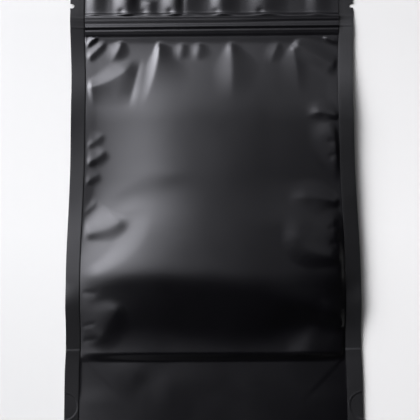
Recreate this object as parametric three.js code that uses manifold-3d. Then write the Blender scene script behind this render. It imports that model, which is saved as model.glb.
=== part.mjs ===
// A stand-up pouch of black film with a press-to-close zipper, lying on its back, shut and empty
// but for some air. x runs across it, +y towards its mouth, +z up from the table. Millimetres.
// The pouch is one welded thing, so it is one solid: a front and a back surface over one grid,
// with the gusset's slit, the tear notches, the corners and the punched half rounds cut from it.
import * as THREE from "three";
import { mergeVertices } from "three/addons/utils/BufferGeometryUtils.js";
import Module from "manifold-3d";

const wasm = await Module();
wasm.setup();

// Outline
const WIDTH = 160;
const LENGTH = 260;
const SIDE_SEAL = 8; // width of the welded strip down each side
const TOP_SEAL = 10;
const CORNER_RADIUS = 4.5;
const PULL_IN = 1.75; // how far the air draws each long edge in, at most
const FOOT_PULL_IN = 0.4; // and again beside the gusset's fold

// Levels along the pouch
const TOP = LENGTH / 2;
const FOOT = -LENGTH / 2;
const ZIPPER_TOP = 102.4;
const ZIPPER_BOTTOM = 89.6;
const NOTCH_Y = 107.8;
const GUSSET_FOLD = -85;
const STEP_TOP = -86.3; // the short steep step down onto the skirt
const SKIRT_TOP = -91.7;
const PUNCH_Y = -115;

// Spans of the length: where something starts to come, is full, starts to go and is gone
const PULL_IN_SPAN = [-46, 22, 55, 108];
const FOOT_PULL_IN_SPAN = [-98, -84, -76, -62];
const SEAL_LIFT_SPAN = [-92, -44, 40, 100];
const RIGHT_LIFT_SPAN = [-76, -42, 40, 75];
const LEFT_SAG_SPAN = [-62, -48, -20, 10];
const RIGHT_SAG_SPAN = [-60, -45, 20, 70];
const RIGHT_CURL_SPAN = [45, 70, 92, 104];

// Welded strips
const SEAL_THICKNESS = 0.6; // webs welded together
const GUSSET_LAYERS = 0.15; // what the gusset's webs add to each face below the gusset's fold
const SEAL_LEVEL = 0.45; // middle of the strips at the pouch's two ends
const SEAL_LIFT = 3.6; // rise of the long strips beside the body
const RIGHT_LIFT = 1.8; // how much higher still the right one is
const RIGHT_LIFT_FROM = 0.4; // share of the half width from which the film climbs to it
const ZIPPER_LIFT = 0.45;
const ZIPPER_LIFT_LENGTH = 9;
const LEFT_SAG = 0.9; // fall of a strip from its seam to its free edge
const RIGHT_SAG = 0.85;
const LEFT_CURL = 1.8; // rise of its free edge instead
const RIGHT_CURL = 0.6;
const FOOT_CURL = 0.65;
const LEFT_CURL_RUN = [5, 60];
const LEFT_CURL_DIP = { y: 67, depth: 0.8, height: 15 }; // less of it below the zipper
const LEFT_CURL_LOSS = 0.45; // share of it lost above the zipper
const LEFT_CURL_LOSS_RUN = [96, 110];
const FOOT_CURL_RUN = [-48, -62];

// Front between the strips
const EDGE_POWER = 80; // how close to the seams the header and the zipper keep their height
const HEADER_RISE = 1.45;
const HEADER_DIP = 0.6; // how much lower the film is between the zipper and the mouth
const HEADER_DIP_RUN = [102, 104];
const NECK_RISE = 1.3; // rise of the body's crown over the seams, below the zipper
const NECK_RUN = [92, 45];
const BODY_RISE = 10.2; // its further rise, growing towards the foot
const BODY_RUN = [86, -45];
const BODY_POWER = 1.25;
// the upper left of the body is a little fuller
const LEFT_SWELL = { rise: 0.75, share: -0.42, width: 0.28, span: [-8, 12, 52, 78] };
const BROW_Y = -49.5; // where the crown bends down towards the foot
const BROW_SKEW = 8; // how much lower that is at the right seam, and higher at the left one
const BROW_SWEEP = 9; // how much lower it is at both
const BROW_DROP = 3; // how much lower it is over the whole right half
const BROW_DROP_RUN = [0.1, 0.5];
const BROW_BEND = 2.3; // softness of the bend
const BROW_SLOPE = 0.39; // steepness of the slope below it
const RIGHT_BROW_SLOPE = 0.24; // how much steeper it is at the right
const RIGHT_BROW_SLOPE_RUN = [0.1, 0.7];
const BROW_LENGTH = 29;
const BROW_SHORTENING = 0.6; // share of that length lost towards the right
const BROW_SHORTENING_RUN = [0.1, 0.8];
const HOLLOW_BEND = 2.6; // softness of the bend at the slope's foot
const RIGHT_FALL = 0.25; // share of the crown lost at the right below the brow
const RIGHT_FALL_RUN = [0.3, 0.9];
const BULGE = 1.085; // the seam's distance from the midline over the bulge's
const SECTION_POWER = 1.5; // of the bulge's rounding towards the seams
const LEFT_FULLNESS = 0.5; // how much less rounded the lower body is at the left
const LEFT_FULLNESS_RUN = [0, -45];
const RIGHT_FULLNESS = 0.7;
const RIGHT_FULLNESS_RUN = [8, -20];
const FLAT_POWER = 4; // of the flatter section of the foot and the skirt
const FLAT_RUN = [-52, -80];
const SKIRT_RISE = 1.5;
const SKIRT_TILT = 0.05; // its further rise towards the open foot, per millimetre
const FOLD_EDGE = 2.5; // distance from a seam over which the folds are pinched flat
const CORNER_WELD = 160.1; // where the slanting weld lines meet the midline, over the middle
const CORNER_WELD_DEPTH = 0.2; // how deep the film is pressed in outside them
const CORNER_WELD_END = [-114, -103];
const BACK_SAG_WIDTH = 17; // the back comes down to the table this far in from a seam

// Zipper: from the mouth down, where each step in the film starts and ends, and its height.
// Together they fall by the header's rise.
const ZIPPER_STEPS = [
  [ZIPPER_TOP, 101.2, 0.3],
  [101.0, 99.8, -0.16],
  [99.4, 97.2, -0.28],
  [97.1, 95.5, 0.36],
  [95.3, 93.9, -0.66],
  [93.8, 93.2, 0.04],
  [92.9, 91.8, -0.22],
  [91.9, ZIPPER_BOTTOM, -0.58],
  [89.9, 85.2, -0.25],
];
const RIB_Y = 95.5; // crest of its main rib
const FLANGE_DIP = { y: 98.2, depth: 0.22, height: 0.9, run: [5, 50] };
const RIB_CRUSH = 0.45; // share of the zipper's relief lost where it runs under the side seals
const RIB_CRUSH_WIDTH = 3;

// Small cuts
const NOTCH_DEPTH = 2.2;
const NOTCH_WIDTH = 2.6;
const PUNCH_RADIUS = 7;
const PUNCH_RECESS = 0.15;
const SLIT_HALF_WIDTH = 66;
const SLIT_TOP = -86;
const SLIT_OPENING = 2.8; // gap between the two lips at the middle of the foot
const SLIT_EDGE = 0.1;

// Upright pleats of the header: place across, widths to the left and right, rise, the level
// above which it is gone and the depth of the dimple by its lower end
const PLEATS = [
  [-66, 6, 7.5, 0.9, 120.5, 0],
  [-47.5, 9.5, 7, 2.1, 120.5, 0.4],
  [-35, 6, 4.5, 0.8, 112, 0.25],
  [-20, 10, 5, 2, 120.5, 0.4],
  [-14.5, 3, 11, 1.1, 120.5, 0],
  [6, 8, 11, 1.7, 120.5, 0.35],
  [31, 12, 13, 1.4, 120.5, 0.3],
  [60, 8, 9, 0.9, 120.5, 0],
];
const PLEAT_FOOT = [101.2, 102.6]; // half of a pleat's height comes here
const PLEAT_RUN = [101.5, 113]; // and the other half here
const PLEAT_FADE = 3.5;
const DIMPLE = { aside: -3.6, width: 1.7, y: 104.4, height: 1.6 };

const CREST_STEPS = 14; // straight steps that a fold's curved crest is measured by
const CREST_EASE = 0.68; // below 1 a fold's crest is sharper and its foot longer

// Folds in the front: crest from its start by way of a middle point to its end, rise (a valley
// has a negative one), widths to the right and left of the crest, shares of the length over
// which it grows and fades, widths at the start and end as shares of the widest, and ease
const FOLDS = [
  // below the zipper, downwards
  [[-64, 89.5], [-67, 87.5], [-71, 84], 0.8, [4.5, 2.6], [0.3, 0.15], [0.5, 0.8]],
  [[-59.5, 87], [-64, 82.5], [-70.5, 76], 0.6, [5.5, 4.5], [0.3, 0.15], [0.5, 0.9]],
  [[-51, 87.5], [-52.5, 81.5], [-57.5, 73.5], 0.85, [8, 7.5], [0.25, 0.5], [0.4, 0.9]],
  [[-43.5, 77], [-53, 66], [-70.5, 59.5], 0.9, [10, 20], [0.35, 0.08], [0.6, 0.6]],
  [[-39.5, 78], [-43.5, 61], [-46.5, 46.5], -0.4, [9, 4.5], [0.3, 0.4], [0.7, 1]],
  [[-30, 87.5], [-31.5, 69], [-39, 45.5], 1.25, [7, 20], [0.16, 0.75], [0.3, 0.9]],
  [[-16, 86.5], [-17, 81], [-18, 73.5], 0.5, [6, 6.5], [0.3, 0.5], [0.5, 0.9]],
  [[-6.5, 86.5], [-7.5, 81], [-8.5, 73.5], 0.6, [6, 8.5], [0.3, 0.5], [0.5, 0.9]],
  [[10.5, 87.5], [11.5, 70], [11, 48], 0.85, [12, 16.5], [0.16, 0.55], [0.25, 0.9]],
  [[38.5, 86.5], [35.5, 80.5], [32.5, 72.5], 0.4, [7, 5.5], [0.3, 0.5], [0.5, 0.9]],
  [[44.5, 85.5], [47.5, 72.5], [48.5, 51], 0.5, [11, 7], [0.2, 0.6], [0.3, 0.9]],
  [[45, 86], [56, 79.5], [71.5, 69.5], 0.9, [9, 9], [0.2, 0.15], [0.5, 0.9], 0.95],
  [[62, 89], [67, 87.5], [72, 85.5], 0.7, [3.2, 3.2], [0.3, 0.15], [0.5, 0.9]],
  // towards the left seam
  [[-60, 34], [-64, 29.5], [-69.5, 26], 0.28, [7, 4.5], [0.3, 0.15], [0.9, 0.35]],
  [[-58.5, 24.5], [-63, 20], [-69.5, 16], 0.55, [12, 6], [0.25, 0.15], [0.9, 0.3]],
  [[-62, 11.5], [-65.5, 8.5], [-70, 5.5], 0.32, [8, 5], [0.3, 0.15], [0.9, 0.35]],
  [[-48.5, -12.5], [-55.5, -19], [-71, -23], 0.6, [18, 8], [0.3, 0.12], [0.85, 0.5], 0.85],
  [[-33, -5], [-40.5, -32.5], [-71, -48], 0.42, [15, 34], [0.35, 0.12], [0.8, 0.5], 0.9],
  [[-49, -59.5], [-55.5, -70], [-64, -85], 0.9, [15, 12], [0.3, 0.25], [0.5, 0.8], 0.8],
  // towards the right seam
  [[51.5, 42], [61.5, 44.5], [70.5, 41], 0.9, [7, 9.5], [0.4, 0.12], [0.8, 0.35]],
  [[62, 44.5], [66.5, 27.5], [71.5, 4.5], 1.2, [14, 6], [0.4, 0.3], [0.9, 0.6], 1],
  [[39.5, -5], [55, -3], [70, -6.5], 0.95, [12, 11.5], [0.4, 0.12], [0.8, 0.35]],
  [[50, -12.5], [48.5, -30.5], [71, -36], 1, [11, 14], [0.35, 0.12], [0.9, 0.5], 1],
  [[64.5, -11], [66.5, -33], [69, -56.5], 1.1, [22, 6], [0.35, 0.25], [0.6, 0.6], 1],
  [[48.5, -72], [58.5, -78], [70.5, -84.5], 0.5, [12, 10], [0.4, 0.3], [0.7, 0.9], 1],
  [[56, -58.5], [64, -65], [71.5, -73], 0.9, [9, 8], [0.5, 0.1], [0.5, 0.7], 0.85],
  [[37, -87], [54, -87], [70.5, -88], 1.35, [3, 16], [0.45, 0.05], [0.7, 0.95], 1],
].map(makeFold);

// Faint creases of the skirt, likewise
const CREASES = [
  [[-41, -90.5], [-43.5, -98], [-50, -107.5], 0.32, [20, 9], [0.5, 0.5], [0.9, 0.9], 1],
  [[-24.5, -91.5], [-22.5, -105.5], [-22.5, -125], 0.4, [13, 26], [0.5, 0.5], [0.9, 0.9], 1],
].map(makeFold);

// Grid: stretches of columns from the middle outwards, and of rows from the foot up, each with
// its end and its number of steps. The last columns and rows are the welded edges.
const SEAM = WIDTH / 2 - SIDE_SEAL;
const COLUMNS = [[38, 7], [SEAM - 1.4, 9], [SEAM, 1], [WIDTH / 2, 2]];
const ROWS = [
  [FOOT + 5, 1],
  [SKIRT_TOP - 1, 6],
  [SKIRT_TOP, 1],
  [STEP_TOP, 2],
  [GUSSET_FOLD - 0.3, 1],
  [GUSSET_FOLD + 0.4, 1],
  [BROW_Y, 8],
  [36, 15],
  [85.2, 11],
  [ZIPPER_BOTTOM, 2],
  [91.8, 2],
  [92.9, 1],
  [93.9, 1],
  [RIB_Y, 2],
  [97.2, 1],
  [FLANGE_DIP.y, 1],
  [99.4, 1],
  [101.2, 2],
  [ZIPPER_TOP, 1],
  [ZIPPER_TOP + 1.2, 1],
  [TOP - TOP_SEAL, 4],
  [TOP, 2],
];

/** Smooth step from 0 at `from` to 1 at `to`; `to` may be the lower of the two. */
function ramp([from, to], value) {
  const t = THREE.MathUtils.clamp((value - from) / (to - from), 0, 1);
  return t * t * (3 - 2 * t);
}

/** 1 on the middle of a span, easing to 0 at its two ends. */
function plateau([start, full, going, gone], value) {
  return ramp([start, full], value) * ramp([gone, going], value);
}

/** A bell curve of height 1 about a centre. */
function bell(centre, width, value) {
  return Math.exp(-(((value - centre) / width) ** 2));
}

/** How far a value has fallen below a start, with the corner rounded by a softness. */
function bend(start, softness, value) {
  return softness * Math.log1p(Math.exp((start - value) / softness));
}

/** Turns one line of a fold table into its crest's points and its sizes. */
function makeFold([from, via, to, rise, flanks, runs, tips, ease = CREST_EASE]) {
  const start = new THREE.Vector2(...from);
  const end = new THREE.Vector2(...to);
  const control = new THREE.Vector2(...via).multiplyScalar(2);
  control.addScaledVector(start, -0.5).addScaledVector(end, -0.5);
  const curve = new THREE.QuadraticBezierCurve(start, control, end);
  return { points: curve.getPoints(CREST_STEPS), rise, flanks, runs, tips, ease };
}

/** Nearest place on a fold's crest: its distance, its side (0 right, 1 left), its share along. */
function nearestOnCrest(fold, x, y) {
  const nearest = { distance: Infinity, side: 0, along: 0 };
  for (let i = 0; i < CREST_STEPS; i++) {
    const from = fold.points[i];
    const run = fold.points[i + 1].clone().sub(from);
    const offset = new THREE.Vector2(x, y).sub(from);
    const share = THREE.MathUtils.clamp(offset.dot(run) / run.lengthSq(), 0, 1);
    const distance = offset.distanceTo(run.clone().multiplyScalar(share));
    if (distance < nearest.distance) {
      nearest.distance = distance;
      nearest.side = run.cross(offset) > 0 ? 1 : 0;
      nearest.along = (i + share) / CREST_STEPS;
    }
  }
  return nearest;
}

/** Height that one fold adds at a place: a tent with an eased crest and feet. */
function foldHeight(fold, x, y) {
  const { distance, side, along } = nearestOnCrest(fold, x, y);
  const grown = ramp([0, fold.runs[0]], along) * ramp([1, 1 - fold.runs[1]], along);
  const atStart = (1 - fold.tips[0]) * ramp([0.5, 0], along);
  const atEnd = (1 - fold.tips[1]) * ramp([0.5, 1], along);
  const share = distance / (fold.flanks[side] * (1 - atStart - atEnd));
  return fold.rise * grown * ramp([1, 0], share ** fold.ease);
}

/** Height that several folds add together at a place. */
function foldsHeight(folds, x, y) {
  return folds.reduce((sum, fold) => sum + foldHeight(fold, x, y), 0);
}

/** Half the pouch's width at a level, drawn in where the body swells. */
function halfWidth(y) {
  return WIDTH / 2 - PULL_IN * plateau(PULL_IN_SPAN, y) - FOOT_PULL_IN * plateau(FOOT_PULL_IN_SPAN, y);
}

/** Level of the welded film's middle, `share` of the way to the right seam. */
function seamLevel(y, share) {
  const body = SEAL_LIFT * plateau(SEAL_LIFT_SPAN, y);
  const right = RIGHT_LIFT * ramp([RIGHT_LIFT_FROM, 1], share) * plateau(RIGHT_LIFT_SPAN, y);
  const zipper = ZIPPER_LIFT * bell(RIB_Y, ZIPPER_LIFT_LENGTH, y);
  return SEAL_LEVEL + body + right + zipper;
}

/** How far a strip hangs below its seam `out` mm outside it, on the left (-1) or right (1). */
function sealDroop(out, y, side) {
  const foot = FOOT_CURL * ramp(FOOT_CURL_RUN, y);
  if (side < 0) {
    const kept = 1 - LEFT_CURL_LOSS * ramp(LEFT_CURL_LOSS_RUN, y);
    const dip = LEFT_CURL_DIP.depth * bell(LEFT_CURL_DIP.y, LEFT_CURL_DIP.height, y);
    const curl = LEFT_CURL * ramp(LEFT_CURL_RUN, y) * kept - dip;
    return ((LEFT_SAG * plateau(LEFT_SAG_SPAN, y) - curl - foot) * out) / SIDE_SEAL;
  }
  const curl = RIGHT_CURL * plateau(RIGHT_CURL_SPAN, y);
  return ((RIGHT_SAG * plateau(RIGHT_SAG_SPAN, y) - curl - foot) * out) / SIDE_SEAL;
}

/** Half the thickness of a strip, more where the gusset's webs are welded in as well. */
function halfSeal(y) {
  return SEAL_THICKNESS / 2 + GUSSET_LAYERS * ramp([GUSSET_FOLD + 0.4, GUSSET_FOLD - 0.3], y);
}

/** Relief of the zipper over the plain film. */
function zipperRelief(x, y) {
  const { y: level, depth, height, run } = FLANGE_DIP;
  const steps = ZIPPER_STEPS.reduce((sum, [from, to, rise]) => sum + rise * ramp([from, to], y), 0);
  return steps - depth * bell(level, height, y) * ramp(run, x);
}

/** The header's upright pleats, flat at the zipper and at the top seal. */
function pleats(x, y) {
  const upright = (ramp(PLEAT_FOOT, y) + ramp(PLEAT_RUN, y)) / 2;
  let sum = 0;
  for (const [crest, left, right, rise, top, dimple] of PLEATS) {
    const section = ramp([crest - left, crest], x) * ramp([crest + right, crest], x);
    const pressed = bell(crest + DIMPLE.aside, DIMPLE.width, x) * bell(DIMPLE.y, DIMPLE.height, y);
    sum += rise * section * upright * ramp([top, top - PLEAT_FADE], y) - dimple * pressed;
  }
  return sum;
}

/** Swelling of the front between the zipper and the skirt, `share` of the way to the right seam. */
function swell(y, share) {
  const grown = Math.max(0, (BODY_RUN[0] - y) / (BODY_RUN[0] - BODY_RUN[1]));
  const left = bell(LEFT_SWELL.share, LEFT_SWELL.width, share) * plateau(LEFT_SWELL.span, y);
  const crown = NECK_RISE * ramp(NECK_RUN, y) + BODY_RISE * grown ** BODY_POWER + LEFT_SWELL.rise * left;
  const curve = BROW_SKEW * share + BROW_SWEEP * share ** 4 + BROW_DROP * ramp(BROW_DROP_RUN, share);
  const brow = BROW_Y - curve;
  const hollow = brow - BROW_LENGTH * (1 - BROW_SHORTENING * ramp(BROW_SHORTENING_RUN, share));
  const slope = BROW_SLOPE + RIGHT_BROW_SLOPE * ramp(RIGHT_BROW_SLOPE_RUN, share);
  const fall = slope * (bend(brow, BROW_BEND, y) - bend(hollow, HOLLOW_BEND, y));
  const kept = 1 - RIGHT_FALL * ramp(RIGHT_FALL_RUN, share) * ramp([brow, hollow], y);
  const fuller = share > 0
    ? RIGHT_FULLNESS * ramp(RIGHT_FULLNESS_RUN, y)
    : LEFT_FULLNESS * ramp(LEFT_FULLNESS_RUN, y);
  const bulge = THREE.MathUtils.lerp(BULGE, 1, ramp(RIGHT_FULLNESS_RUN, y));
  const across = Math.min(1, Math.abs(share) * bulge);
  const round = (1 - across ** 2) ** (SECTION_POWER - fuller);
  const section = THREE.MathUtils.lerp(round, 1 - share ** FLAT_POWER, ramp(FLAT_RUN, y));
  return (crown * kept - fall) * section;
}

/** Relief of the skirt: its rise, its faint creases and the slanting welds in its corners. */
function skirt(x, y, share, inside) {
  const weld = ramp([CORNER_WELD - 0.5, CORNER_WELD + 0.5], Math.abs(x) - y);
  const pressed = CORNER_WELD_DEPTH * weld * ramp(CORNER_WELD_END, y);
  const creases = foldsHeight(CREASES, x, y) - pressed;
  const rise = SKIRT_RISE + SKIRT_TILT * Math.max(0, SKIRT_TOP - y);
  return rise * (1 - share ** FLAT_POWER) + creases * Math.min(1, inside);
}

/** Relief of the front between the seams, over their level. */
function relief(x, y, share, inside) {
  const wide = 1 - Math.abs(share) ** EDGE_POWER;
  const zipper = zipperRelief(x, y) * wide;
  if (y > ZIPPER_BOTTOM) {
    const raised = (HEADER_RISE - HEADER_DIP * ramp(HEADER_DIP_RUN, y)) * wide;
    const header = raised * ramp([TOP - TOP_SEAL / 2, TOP - TOP_SEAL], y);
    return header + pleats(x, y) * Math.min(1, inside / 2) + zipper;
  }
  const body = swell(y, share) + foldsHeight(FOLDS, x, y) * Math.min(1, inside / FOLD_EDGE);
  const onSkirt = skirt(x, y, share, inside);
  return THREE.MathUtils.lerp(onSkirt, body, ramp([SKIRT_TOP, STEP_TOP], y)) + HEADER_RISE * wide + zipper;
}

/** Height of the front surface. */
function front(x, y) {
  const inner = halfWidth(y) - SIDE_SEAL;
  const inside = inner - Math.abs(x);
  const side = Math.sign(x);
  if (inside < 0) {
    const kept = 1 - RIB_CRUSH * Math.min(1, -inside / RIB_CRUSH_WIDTH);
    const seal = seamLevel(y, side) + halfSeal(y) - sealDroop(-inside, y, side);
    return seal + Math.max(0, zipperRelief(x, y)) * kept;
  }
  const share = x / inner;
  return seamLevel(y, share) + halfSeal(y) + relief(x, y, share, inside);
}

/** Height of the back surface: on the table but for a strip beside each seam. */
function back(x, y) {
  const inner = halfWidth(y) - SIDE_SEAL;
  const inside = inner - Math.abs(x);
  const side = Math.sign(x);
  if (inside < 0) return seamLevel(y, side) - halfSeal(y) - sealDroop(-inside, y, side);
  const table = ramp([0, BACK_SAG_WIDTH], inside) * ramp([TOP, TOP - TOP_SEAL], y);
  return (seamLevel(y, x / inner) - halfSeal(y)) * (1 - table);
}

/** Values from `first` on through stretches that each end at a value after some steps. */
function divide(first, stretches) {
  const values = [first];
  for (const [end, steps] of stretches) {
    const start = values.at(-1);
    for (let i = 1; i <= steps; i++) values.push(start + ((end - start) * i) / steps);
  }
  return values;
}

/** A closed solid between two surfaces: a box, `columns` by `rows`, with every corner placed. */
function slab(columns, rows, acrossAt, top, bottom) {
  const box = new THREE.BoxGeometry(1, 1, 1, columns.length - 1, rows.length - 1, 1);
  const position = box.getAttribute("position");
  for (let i = 0; i < position.count; i++) {
    const column = Math.round((position.getX(i) + 0.5) * (columns.length - 1));
    const row = Math.round((position.getY(i) + 0.5) * (rows.length - 1));
    const y = rows[row];
    const x = acrossAt(columns[column], y);
    position.setXYZ(i, x, y, position.getZ(i) > 0 ? top(x, y) : bottom(x, y));
  }
  return box;
}

/** The bare pouch, before its slit, notches and corners are cut. */
function webs() {
  const right = divide(0, COLUMNS);
  const columns = [...right.slice(1).map((x) => -x).reverse(), ...right];
  const acrossAt = (column, y) => {
    const drawnIn = WIDTH / 2 - halfWidth(y);
    const share = Math.min(1, Math.abs(column) / SEAM);
    return column - Math.sign(column) * drawnIn * share;
  };
  return slab(columns, divide(FOOT, ROWS), acrossAt, front, back);
}

/** The narrow gap between the two lips of the foot, up to the gusset's fold. */
function gussetSlit() {
  const halfGap = (x, y) => {
    const across = 1 - (x / SLIT_HALF_WIDTH) ** 2;
    return (SLIT_EDGE + SLIT_OPENING * across * Math.min(1, (SLIT_TOP - y) / (SLIT_TOP - FOOT))) / 2;
  };
  const middle = (x, y) => {
    const level = Math.max(y, FOOT);
    return (back(x, level) + front(x, level)) / 2;
  };
  const columns = divide(-SLIT_HALF_WIDTH, [[SLIT_HALF_WIDTH, 16]]);
  const rows = divide(FOOT - 1, [[FOOT, 1], [SLIT_TOP, 5]]);
  const top = (x, y) => middle(x, y) + halfGap(x, y);
  const bottom = (x, y) => middle(x, y) - halfGap(x, y);
  return slab(columns, rows, (x) => x, top, bottom);
}

/** An upright cutter of a flat shape, tall enough to pass through the edge of the pouch. */
function cutter(shape, x, y, turn) {
  const tall = 12;
  const geometry = new THREE.ExtrudeGeometry(shape, {
    depth: tall,
    bevelEnabled: false,
    curveSegments: 8,
  });
  return geometry.rotateZ(turn).translate(x, y, -tall / 2);
}

/** The tear notch in the right or left edge, a slot with a round end. */
function tearNotch(side) {
  const radius = NOTCH_WIDTH / 2;
  const shape = new THREE.Shape();
  shape.moveTo(2, -radius);
  shape.lineTo(2, radius);
  shape.lineTo(radius - NOTCH_DEPTH, radius);
  shape.absarc(radius - NOTCH_DEPTH, 0, radius, Math.PI / 2, (3 * Math.PI) / 2, false);
  return cutter(shape, side * halfWidth(NOTCH_Y), NOTCH_Y, side > 0 ? 0 : Math.PI);
}

/** What rounds off the corner on the given sides. */
function cornerOffcut(sideX, sideY) {
  const radius = CORNER_RADIUS;
  const shape = new THREE.Shape();
  shape.moveTo(radius + 1, 0);
  shape.lineTo(radius + 1, radius + 1);
  shape.lineTo(0, radius + 1);
  shape.lineTo(0, radius);
  shape.absarc(0, 0, radius, Math.PI / 2, 0, true);
  const turn = Math.atan2(sideY, sideX) - Math.PI / 4;
  return cutter(shape, sideX * (WIDTH / 2 - radius), sideY * (LENGTH / 2 - radius), turn);
}

/** The shallow recess of a punched half round in the front, along the curled-up strip. */
function punchRecess(side) {
  const tall = 2;
  const edge = halfWidth(PUNCH_Y);
  const surface = front(side * edge, PUNCH_Y);
  const tilt = Math.atan2(-sealDroop(SIDE_SEAL, PUNCH_Y, side), SIDE_SEAL);
  const disc = new THREE.CylinderGeometry(PUNCH_RADIUS, PUNCH_RADIUS, tall, 36);
  disc.rotateX(Math.PI / 2).rotateY(-side * tilt);
  return disc.translate(side * edge, PUNCH_Y, surface + tall / 2 - PUNCH_RECESS);
}

/** A closed geometry as a solid that can be cut. */
function toSolid(geometry) {
  geometry.deleteAttribute("normal");
  geometry.deleteAttribute("uv");
  const merged = mergeVertices(geometry);
  return new wasm.Manifold(new wasm.Mesh({
    numProp: 3,
    vertProperties: merged.getAttribute("position").array,
    triVerts: new Uint32Array(merged.index.array),
  }));
}

/** A cut solid as a geometry again. */
function toGeometry(solid) {
  const mesh = solid.getMesh();
  const geometry = new THREE.BufferGeometry();
  geometry.setAttribute("position", new THREE.BufferAttribute(mesh.vertProperties, 3));
  geometry.setIndex(new THREE.BufferAttribute(mesh.triVerts, 1));
  geometry.computeVertexNormals();
  return geometry;
}

/** The whole pouch. */
function pouch() {
  const cuts = [gussetSlit()];
  for (const side of [-1, 1]) {
    cuts.push(tearNotch(side), cornerOffcut(side, 1), cornerOffcut(side, -1), punchRecess(side));
  }
  const solid = cuts.reduce((rest, cut) => rest.subtract(toSolid(cut)), toSolid(webs()));
  const film = new THREE.MeshStandardMaterial({
    color: 0x17161a,
    roughness: 0.45,
    metalness: 0,
  });
  const mesh = new THREE.Mesh(toGeometry(solid), film);
  mesh.name = "pouch";
  return mesh;
}

const group = new THREE.Group();
group.add(pouch());

export default group;
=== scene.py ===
"""A stand-up pouch of matt black film lying on its back on a pale table, by soft window light.

Lengths are in millimetres until a mesh is finished, and a mesh is in metres. x runs across the
pouch, +y towards its mouth and +z up from the table, as in the frame.
"""
import logging
import math
from dataclasses import dataclass
from enum import Enum
from typing import Callable, Sequence

import bmesh
import bpy
import numpy as np
from mathutils import Matrix, Vector


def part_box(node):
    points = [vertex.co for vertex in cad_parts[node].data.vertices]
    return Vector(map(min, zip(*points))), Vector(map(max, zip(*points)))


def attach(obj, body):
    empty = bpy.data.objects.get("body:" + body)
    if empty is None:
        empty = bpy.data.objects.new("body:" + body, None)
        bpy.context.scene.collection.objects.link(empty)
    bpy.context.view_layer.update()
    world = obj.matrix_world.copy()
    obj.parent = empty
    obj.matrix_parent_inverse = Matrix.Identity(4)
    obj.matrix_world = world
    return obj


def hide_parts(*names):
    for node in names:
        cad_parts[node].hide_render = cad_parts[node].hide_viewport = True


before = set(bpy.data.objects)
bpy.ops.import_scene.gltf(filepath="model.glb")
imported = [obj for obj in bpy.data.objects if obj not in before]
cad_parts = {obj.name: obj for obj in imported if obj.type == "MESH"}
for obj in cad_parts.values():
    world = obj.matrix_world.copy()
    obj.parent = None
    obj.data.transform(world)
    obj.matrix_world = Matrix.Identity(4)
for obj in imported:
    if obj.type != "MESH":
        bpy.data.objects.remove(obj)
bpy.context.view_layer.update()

log = logging.getLogger("pouch")

METRES = 0.001
NODE = "pouch"
BODY = "root"
(_low, _high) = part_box(NODE)
WIDTH = (_high[0] - _low[0]) / METRES
LENGTH = (_high[1] - _low[1]) / METRES

Points = np.ndarray
Surface = Callable[[Points, Points, bool], tuple[Points, Points]]
Pair = tuple[float, float]
Colour = tuple[float, float, float]


def ramp(start: float | Points, end: float | Points, value: Points) -> Points:
    """Smooth step.

    Args:
        start: Where the step leaves 0. It may lie above or below its end.
        end: Where it reaches 1.
        value: The places asked for.

    Returns:
        The step's height at each place.
    """
    t = np.clip((value - start) / (end - start), 0.0, 1.0)
    return t * t * (3.0 - 2.0 * t)


def bell(centre: float, width: float, value: Points) -> Points:
    """A bell curve of height 1 about a centre, with the given width to a third of its height."""
    return np.exp(-(((value - centre) / width) ** 2))


def bend(start: float | Points, softness: float, value: Points) -> Points:
    """How far a value has fallen below a start, with the corner rounded by a softness."""
    return softness * np.logaddexp(0.0, (start - value) / softness)


def divide(first: float, stretches: Sequence[Pair]) -> Points:
    """Values along a line, evenly spaced in each stretch of it.

    Args:
        first: The first value.
        stretches: Each stretch's end and its largest step.

    Returns:
        All the values, first to last.
    """
    values = [np.array([first])]
    for end, step in stretches:
        start = values[-1][-1]
        count = max(1, math.ceil(abs(end - start) / step))
        values.append(np.linspace(start, end, count + 1)[1:])
    return np.concatenate(values)


@dataclass(frozen=True)
class Step:
    """A change that comes smoothly and stays.

    Attributes:
        amount: The whole change.
        start: Where it starts to come.
        end: Where it is complete, above or below that.
    """

    amount: float
    start: float
    end: float

    def at(self, value: Points) -> Points:
        """The change at each place."""
        return self.amount * ramp(self.start, self.end, value)


@dataclass(frozen=True)
class Stretch:
    """A change that comes smoothly and goes again.

    Attributes:
        amount: The whole change.
        start: Where it starts to come.
        full: Where it is complete.
        going: Where it starts to go.
        gone: Where it has gone.
    """

    amount: float
    start: float
    full: float
    going: float
    gone: float

    def at(self, value: Points) -> Points:
        """The change at each place."""
        come = self.amount * ramp(self.start, self.full, value)
        return come * ramp(self.gone, self.going, value)


@dataclass(frozen=True)
class Hump:
    """A change in the form of a bell curve.

    Attributes:
        amount: Its height.
        centre: The place of its middle.
        width: Half its width at a third of its height.
    """

    amount: float
    centre: float
    width: float

    def at(self, value: Points) -> Points:
        """The change at each place."""
        return self.amount * bell(self.centre, self.width, value)


class Flank(Enum):
    """Which side of a fold's crest a point is on, going from its start to its end."""

    RIGHT = 0
    LEFT = 1


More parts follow.
